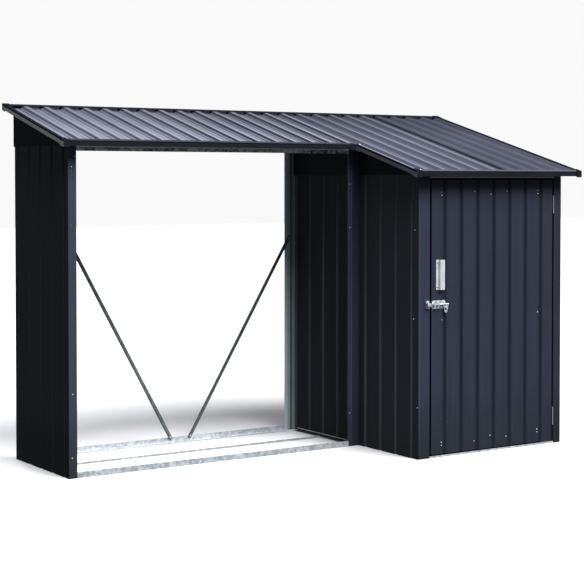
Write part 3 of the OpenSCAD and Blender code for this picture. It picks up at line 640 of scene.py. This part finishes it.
# Rear closures: small pressed plates that stop the ends of the pans under the back trim.
# There is one between each two ribs, of thin painted sheet with a shallow sunk middle.
rib_foot = 0.044
rib_crest = 0.022
closure_gap = 0.0003
crest_gap = 0.001
closure_low = rib_pitch - rib_foot - 0.006
closure_high = rib_pitch - rib_crest - 0.026
closure_border = 0.0016
closure_sunk = 0.0012
closure_sheet = 0.0008
closure_inset = 0.0335
bpy.ops.object.select_all(action="DESELECT")
bpy.ops.mesh.primitive_plane_add(size=1.0)
closure = bpy.context.object
bpy.ops.object.mode_set(mode="EDIT")
bpy.ops.transform.resize(value=(closure_low, rib_height, 1.0))
middle = 0.5 * rib_foot + 0.5 * closure_low
bpy.ops.transform.translate(value=(middle, 0.5 * rib_height, 0.0))
bpy.ops.mesh.select_mode(type="VERT")
bpy.ops.mesh.select_all(action="DESELECT")
shape = bmesh.from_edit_mesh(closure.data)
for corner in shape.verts:
    corner.select_set(corner.co.y > 0.5 * rib_height)
bmesh.update_edit_mesh(closure.data)
narrowing = closure_high / closure_low
bpy.ops.transform.resize(value=(narrowing, 1.0, 1.0), center_override=(middle, rib_height, 0.0))
lean_over = 0.5 * rib_crest + crest_gap + 0.5 * closure_high - middle
bpy.ops.transform.translate(value=(lean_over, -closure_gap, 0.0))
choose(closure, lambda middle, facing: True)
bpy.ops.mesh.inset(thickness=closure_border)
bpy.ops.transform.translate(value=(0.0, 0.0, -closure_sunk))
bpy.ops.object.mode_set(mode="OBJECT")
thicken = closure.modifiers.new("sheet", "SOLIDIFY")
thicken.thickness = closure_sheet
bpy.ops.object.modifier_apply(modifier="sheet")
closure_y = rear_high.y - closure_inset
closure_z = pan_top(closure_y)
closure_places = [(rib_first + k * rib_pitch, closure_y, closure_z) for k in range(rib_count - 1)]
closure_deep = (0.030, 0.033, 0.043, 1.0)
closure_pale = (0.055, 0.058, 0.072, 1.0)
closure_paint = satin_coat("closure_paint", closure_deep, closure_pale, roughness=0.55, specular=0.3,
                           specks=0.0)
across_slope = Matrix.Rotation(math.pi / 2 + pitch, 4, "X")
set_out(closure, "rear_closures", across_slope, closure_places, "frame", closure_paint)

# Cap screws: pan heads with a socket through the caps and the step's trim, driven into the roof's frame.
# Those of the outer corners are painted over; the two where the roof steps forward are bare bright zinc.
cap_spots = ((left_low.x, 1.0, left_low.y, 1.0), (left_low.x, 1.0, rear_high.y, -1.0))
cap_spots += ((front_high.x, -1.0, front_low.y, 1.0), (front_high.x, -1.0, rear_high.y, -1.0))
cap_inset_x = 0.013
cap_inset_y = 0.016
cap_screws = []
for corner_x, way_x, corner_y, way_y in cap_spots:
    spot_y = corner_y + way_y * cap_inset_y
    cap_screws.append((corner_x + way_x * cap_inset_x, spot_y, roof_top(spot_y) + cap_thickness))
cap_screw = screw_head(sides=10, radius=0.0042, height=0.0030)
set_out(cap_screw, "cap_screws", on_slope, cap_screws, "frame", trim_paint)
outer_x = step_low.x + 0.025
outer_y = front_low.y + 0.006
inner_x = step_low.x + 0.016
inner_y = step_high.y - 0.008
step_screws = [(outer_x, outer_y, roof_top(outer_y) + cap_thickness), (inner_x, inner_y, roof_top(inner_y))]
step_screw = screw_head(sides=10, radius=0.0042, height=0.0030)
set_out(step_screw, "step_screws", on_slope, step_screws, "frame", galvanised)

# Door: one sheet of grooved painted steel on a light galvanised frame of two stiles and two rails.
# Bright screws hold the sheet to its frame along the top and bottom, and one at each side half way up.
# The floors of its upright grooves are painted darker, as painted shade.
door_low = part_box("door_panel")[0]
door_deep = (0.0152, 0.0188, 0.033, 1.0)
door_pale = (0.0255, 0.030, 0.050, 1.0)
door_groove_shade = (0.0085, 0.0105, 0.019, 1.0)
door_paint = satin_coat("door_paint", door_deep, door_pale, roughness=0.5, specular=0.3,
                        specks=0.04, soil=0.35, painted_light_colour=door_groove_shade,
                        painted_light=lambda spot: (spot.part("Y") - door_low.y).between(0.0008, 0.0030))
dress(door_paint, "door_panel")
dress(galvanised, "door_stiles", "door_rails")
door_spots = ((0.057, 1.178), (0.057, 1.164), (0.247, 1.180), (0.342, 1.167), (0.437, 1.182))
door_spots += ((0.627, 1.184), (0.627, 1.169), (0.057, 0.611), (0.627, 0.619), (0.057, 0.065))
door_spots += ((0.057, 0.051), (0.247, 0.053), (0.342, 0.070), (0.437, 0.057), (0.627, 0.073))
door_spots += ((0.627, 0.060),)
door_screws = [(door_low.x + offset, door_low.y, height) for offset, height in door_spots]
door_screw = screw_head(sides=10, radius=0.0027, height=0.0022)
set_out(door_screw, "door_screws", to_front, door_screws, "door", galvanised)

# Handle, bolt and keeper: pressed steel with a bright zinc plating, brushed along its length.
# The handle is screwed to the door, the bolt's plate is riveted to it, and the keeper is on the post.
plating, plate_shader, place = new_finish("bright_plating", metallic=0.2, specular=0.5)
brush = place.noise(scale=1.0, detail=4.0, stretch=(900.0, 900.0, 25.0))
smear = place.noise(scale=45.0, detail=3.0)
plate_tone = (brush * 0.5 + smear * 0.6).between(0.2, 0.9)
plate_deep = (0.56, 0.585, 0.62, 1.0)
plate_pale = (0.76, 0.785, 0.83, 1.0)
plate_colour = plate_tone.tint(plate_deep, plate_pale)
lay_on(plate_shader, plate_colour, 0.24 + smear * 0.2, brush, depth=0.00005)
dress(plating, "door_handle")
# The bolt's plating is painted in patches of near white and dark teal grey, as painted reflections.
bolt_plating, bolt_shader, place = new_finish("bolt_plating", metallic=0.45, specular=0.5)
reflection_patches = place.noise(scale=75.0, detail=3.0)
fine = place.noise(scale=600.0, detail=2.0)
bolt_tone = (reflection_patches * 0.9 + fine * 0.1).between(0.36, 0.60)
bolt_deep = (0.30, 0.355, 0.385, 1.0)
bolt_pale = (0.92, 0.97, 1.0, 1.0)
bolt_colour = bolt_tone.tint(bolt_deep, bolt_pale)
lay_on(bolt_shader, bolt_colour, 0.22 + reflection_patches * 0.2, fine, depth=0.00005)
dress(bolt_plating, "bolt_plate", "bolt", "bolt_keeper")
handle_low, handle_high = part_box("door_handle")
plate_sheet = 0.002
handle_inset = 0.008
end_inset = 0.012
flange_face = handle_high.y - plate_sheet
handle_x = handle_low.x + handle_inset
handle_ends = (handle_low.z + end_inset, handle_high.z - end_inset)
handle_screws = [(handle_x, flange_face, height) for height in handle_ends]
handle_screw = screw_head(sides=10, radius=0.0036, height=0.0020)
set_out(handle_screw, "handle_screws", to_front, handle_screws, "door", green_zinc)
plate_low, plate_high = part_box("bolt_plate")
plate_face = plate_high.y - plate_sheet
rivet_inset = 0.006
plate_rivets = []
for rivet_x in (plate_low.x + end_inset, plate_high.x - end_inset):
    for rivet_z in (plate_low.z + rivet_inset, plate_high.z - rivet_inset):
        plate_rivets.append((rivet_x, plate_face, rivet_z))
plate_rivet = screw_head(sides=10, radius=0.0032, height=0.0012)
set_out(plate_rivet, "bolt_plate_rivets", to_front, plate_rivets, "door", plating)
keeper_low, keeper_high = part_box("bolt_keeper")
keeper_x = 0.5 * (keeper_low.x + keeper_high.x)
keeper_face = keeper_high.y - plate_sheet
keeper_ends = (keeper_low.z + rivet_inset, keeper_high.z - rivet_inset)
keeper_screws = [(keeper_x, keeper_face, height) for height in keeper_ends]
keeper_screw = screw_head(sides=10, radius=0.0036, height=0.0026)
set_out(keeper_screw, "keeper_screws", to_front, keeper_screws, "frame", plating)

# Hinges: two folded steel hinges whose leaves are painted over with the door's coat.
# A thin bright line along each pin is a painted highlight on the knuckle.
hinge_low, hinge_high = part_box("hinge_post_leaves")
leaf_low, leaf_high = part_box("hinge_door_leaves")
pin_x = 0.5 * (max(hinge_low.x, leaf_low.x) + min(hinge_high.x, leaf_high.x))
hinge_finish, hinge_shader, place = new_finish("hinge_paint", metallic=0.2, specular=0.4)
scuff = place.noise(scale=120.0, detail=3.0)
bright = 1.0 - (abs(place.part("X") - pin_x) + scuff * 0.001).between(0.0018, 0.0028)
leaf_deep = (0.012, 0.015, 0.026, 1.0)
leaf_pale = (0.024, 0.028, 0.044, 1.0)
knuckle_highlight = (0.30, 0.32, 0.34, 1.0)
hinge_colour = bright.tint(scuff.tint(leaf_deep, leaf_pale), knuckle_highlight)
lay_on(hinge_shader, hinge_colour, 0.36 + scuff * 0.2, scuff, depth=0.0001)
dress(hinge_finish, "hinge_post_leaves", "hinge_door_leaves")

# Ground, light and camera: a plain pale floor, soft suns in a fan and the photograph's viewing angle.
# The fan stands in front and a little to the right, so faces turned to the left stay in shade.
# A weaker low sun behind lights the back, and the world gives an even low light all round.
bpy.ops.object.select_all(action="DESELECT")
floor_size = 60.0
floor_gap = 0.0005
bpy.ops.mesh.primitive_plane_add(size=floor_size, location=(0.0, 0.0, -floor_gap))
floor = bpy.context.object
floor.name = "floor"
floor_finish, floor_shader, place = new_finish("pale_floor", metallic=0.0, specular=0.2)
floor_tone = place.noise(scale=1.5, detail=3.0)
floor_deep = (0.80, 0.80, 0.80, 1.0)
floor_pale = (0.84, 0.84, 0.84, 1.0)
floor_colour = floor_tone.tint(floor_deep, floor_pale)
lay_on(floor_shader, floor_colour, 0.75 + floor_tone * 0.1, floor_tone, depth=0.0001)
floor.data.materials.append(floor_finish)
floor.visible_glossy = False
floor.visible_diffuse = False


def soft_sun(name, side, height, strength, width, colour):
    lamp = bpy.data.lights.new(name, "SUN")
    lamp.energy = strength
    lamp.angle = math.radians(width)
    lamp.color = colour
    holder = bpy.data.objects.new(name, lamp)
    bpy.context.collection.objects.link(holder)
    level = math.cos(math.radians(height))
    across = math.sin(math.radians(side)) * level
    ahead = math.cos(math.radians(side)) * level
    down = math.sin(math.radians(height))
    holder.rotation_euler = Vector((-across, ahead, -down)).to_track_quat("-Z", "Y").to_euler()


fan = (("left_sun", -10.0, 53.6), ("front_sun", 9.0, 53.7), ("right_sun", 28.0, 50.5))
fan_white = (0.97, 0.98, 1.0)
back_white = (0.95, 0.97, 1.0)
for name, side, height in fan:
    soft_sun(name, side, height, strength=2.15, width=34.0, colour=fan_white)
soft_sun("back_sun", side=168.0, height=12.0, strength=1.9, width=12.0, colour=back_white)

world = bpy.data.worlds.new("studio")
bpy.context.scene.world = world
world.use_nodes = True
backing = world.node_tree.nodes["Background"]
backing.inputs["Strength"].default_value = 1.0
path = world.node_tree.nodes.new("ShaderNodeLightPath")
seen = Wire(world.node_tree, path.outputs["Is Camera Ray"])
low_light = (0.13, 0.134, 0.145, 1.0)
backdrop = (0.95, 0.95, 0.95, 1.0)
studio = seen.tint(low_light, backdrop)
world.node_tree.links.new(studio.socket, backing.inputs["Color"])
bpy.context.scene.view_settings.view_transform = "Standard"

picture_width = 584.0
focal_pixels = 1532.66
look_down = 0.0282
look_right = 0.5836
lens = bpy.data.cameras.new("camera")
lens.sensor_width = 36.0
lens.lens = focal_pixels / picture_width * lens.sensor_width
lens.shift_y = -0.12
lens.clip_end = 100.0
camera = bpy.data.objects.new("camera", lens)
bpy.context.collection.objects.link(camera)
camera.location = (-3.8613, -5.7710, 1.2382)
camera.rotation_euler = Euler((math.pi / 2 - look_down, 0.0, -look_right))
bpy.context.scene.camera = camera
